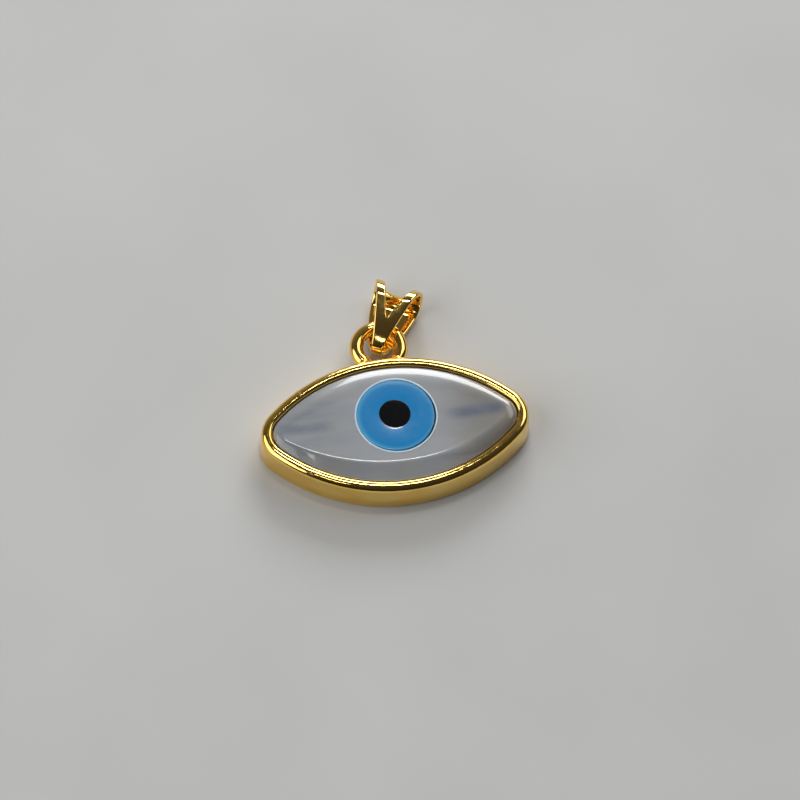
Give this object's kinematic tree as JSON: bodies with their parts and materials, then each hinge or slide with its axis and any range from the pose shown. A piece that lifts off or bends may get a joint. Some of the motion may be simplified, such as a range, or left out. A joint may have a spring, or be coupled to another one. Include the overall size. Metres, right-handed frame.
{
  "type": "evil eye pendant",
  "caption": "Marquise evil eye pendant: a gilded cup holds a mother-of-pearl plate with an inlaid blue and black eye, and a V bail swings in a soldered ring.",
  "frame": {"origin": "centre of the cup's flat back face, midway between the marquise's two tips", "axes": "+X along the marquise's long axis, +Y across it towards the hanging ring and bail, +Z out of the back, the way the eye faces"},
  "size_m": [0.0224, 0.0202, 0.0034],
  "materials": {
    "gilding": "polished yellow gold plating",
    "gilding_back": "brushed yellow gold plating",
    "gilding_inside": "unpolished gold plating",
    "gilding_ring": "polished yellow gold plating on round wire",
    "gilding_bail": "polished yellow gold plating on sheet",
    "solder": "plated solder, slightly uneven",
    "cement": "cured epoxy",
    "pearl": "polished mother-of-pearl with a silky sheen",
    "liner": "glossy white resin",
    "iris": "glossy bright blue resin",
    "pupil": "glossy black resin"
  },
  "bodies": {
    "pendant": {"cup_wall": "gilding", "cup_wall_seam": "solder", "back_plate": "gilding_back", "seat_ledge": "gilding_inside", "bedding_cement": "cement", "pearl_plate": "pearl", "eye_cement": "cement", "eye_liner": "liner", "iris_disc": "iris", "pupil_disc": "pupil", "hanging_ring": "gilding_ring", "ring_solder": "solder"},
    "bail": {"bail_strap": "gilding_bail", "bail_seam": "solder"}
  },
  "joints": [
    {"name": "bail_swing", "type": "hinge", "parent": "pendant", "child": "bail", "pos_m": [0.00038, 0.00932, 0.0014], "axis": [0.9011, -0.4337, 0], "range_deg": [0, 100]}
  ]
}
